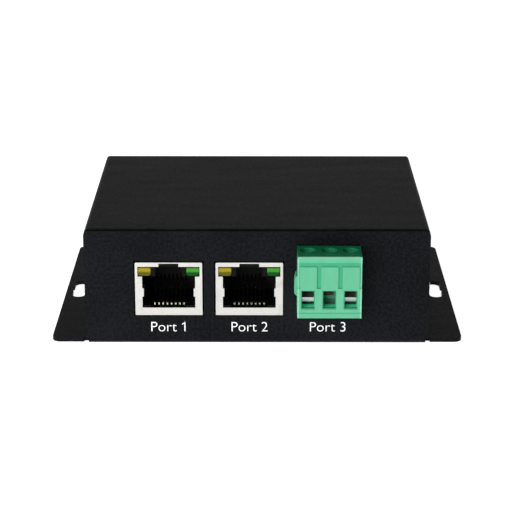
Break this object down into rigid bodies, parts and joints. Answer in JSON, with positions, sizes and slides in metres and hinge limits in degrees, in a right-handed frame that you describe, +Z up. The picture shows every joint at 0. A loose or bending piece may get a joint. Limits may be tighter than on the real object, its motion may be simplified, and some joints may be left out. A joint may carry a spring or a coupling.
{
  "type": "poe splitter",
  "caption": "Small black folded-steel box with mounting ears that splits power and data from a network cable, with two shielded sockets and a green pluggable screw terminal.",
  "frame": {"origin": "middle of the base plate's depth and width, on its underside", "axes": "+Z up out of the cover, +X along the width, -Y out of the sockets"},
  "size_m": [0.1006, 0.0832, 0.0292],
  "materials": {
    "case_paint": "fine satin black powder coat",
    "screw_steel": "zinc plated",
    "shield_steel": "bright tin plate",
    "socket_plastic": "black moulding",
    "contact_gold": "gold plated",
    "lamp_yellow": "tinted clear moulding",
    "lamp_green": "tinted clear moulding",
    "plug_plastic": "light green moulding",
    "clamp_metal": "nickel plated",
    "board_laminate": "green solder mask",
    "film_plastic": "black film",
    "chip_plastic": "black moulding with tinned leads",
    "ferrite": "dark ground ferrite",
    "bobbin_plastic": "taped winding",
    "can_aluminium": "plain can"
  },
  "bodies": {
    "case": {"base_chassis": "case_paint", "top_cover": "case_paint", "cover_screws": "screw_steel", "insulating_sheet": "film_plastic", "board_standoffs": "screw_steel", "board_screws": "screw_steel", "main_board": "board_laminate", "terminal_header": "plug_plastic", "header_pins": "clamp_metal", "data_magnetics": "chip_plastic", "bridge_rectifiers": "chip_plastic", "controller_chip": "chip_plastic", "transformer_core": "ferrite", "transformer_bobbin": "bobbin_plastic", "input_capacitor": "can_aluminium", "output_capacitors": "can_aluminium", "output_choke": "ferrite", "jack_in_shield": "shield_steel", "jack_in_insert": "socket_plastic", "jack_in_contacts": "contact_gold", "jack_in_led_yellow": "lamp_yellow", "jack_in_led_green": "lamp_green", "jack_out_shield": "shield_steel", "jack_out_insert": "socket_plastic", "jack_out_contacts": "contact_gold", "jack_out_led_yellow": "lamp_yellow", "jack_out_led_green": "lamp_green"},
    "plug": {"terminal_plug": "plug_plastic", "plug_springs": "clamp_metal"},
    "screw_1": {"clamp_screw_1": "clamp_metal"},
    "cage_1": {"clamp_cage_1": "clamp_metal"},
    "screw_2": {"clamp_screw_2": "clamp_metal"},
    "cage_2": {"clamp_cage_2": "clamp_metal"},
    "screw_3": {"clamp_screw_3": "clamp_metal"},
    "cage_3": {"clamp_cage_3": "clamp_metal"}
  },
  "joints": [
    {"name": "plug_pull", "type": "slide", "parent": "case", "child": "plug", "axis": [0, -1, 0], "range_m": [0, 0.012]},
    {"name": "screw_1_turn", "type": "hinge", "parent": "plug", "child": "screw_1", "pos_m": [0.01217, -0.0407, 0.0253], "axis": [0, 0, -1], "range_deg": [-1281, 1361]},
    {"name": "cage_1_rise", "type": "slide", "parent": "plug", "child": "cage_1", "axis": [0, 0, 1], "range_m": [-0.0016, 0.0017]},
    {"name": "screw_2_turn", "type": "hinge", "parent": "plug", "child": "screw_2", "pos_m": [0.01725, -0.0407, 0.0253], "axis": [0, 0, -1], "range_deg": [-1, 2641]},
    {"name": "cage_2_rise", "type": "slide", "parent": "plug", "child": "cage_2", "axis": [0, 0, 1], "range_m": [0, 0.0033]},
    {"name": "screw_3_turn", "type": "hinge", "parent": "plug", "child": "screw_3", "pos_m": [0.02233, -0.0407, 0.0253], "axis": [0, 0, -1], "range_deg": [-1281, 1361]},
    {"name": "cage_3_rise", "type": "slide", "parent": "plug", "child": "cage_3", "axis": [0, 0, 1], "range_m": [-0.0016, 0.0017]}
  ],
  "couplings": [
    {"joint": "screw_1_turn", "follows": "cage_1_rise", "rad_per_m": 13963},
    {"joint": "screw_2_turn", "follows": "cage_2_rise", "rad_per_m": 13963},
    {"joint": "screw_3_turn", "follows": "cage_3_rise", "rad_per_m": 13963}
  ]
}
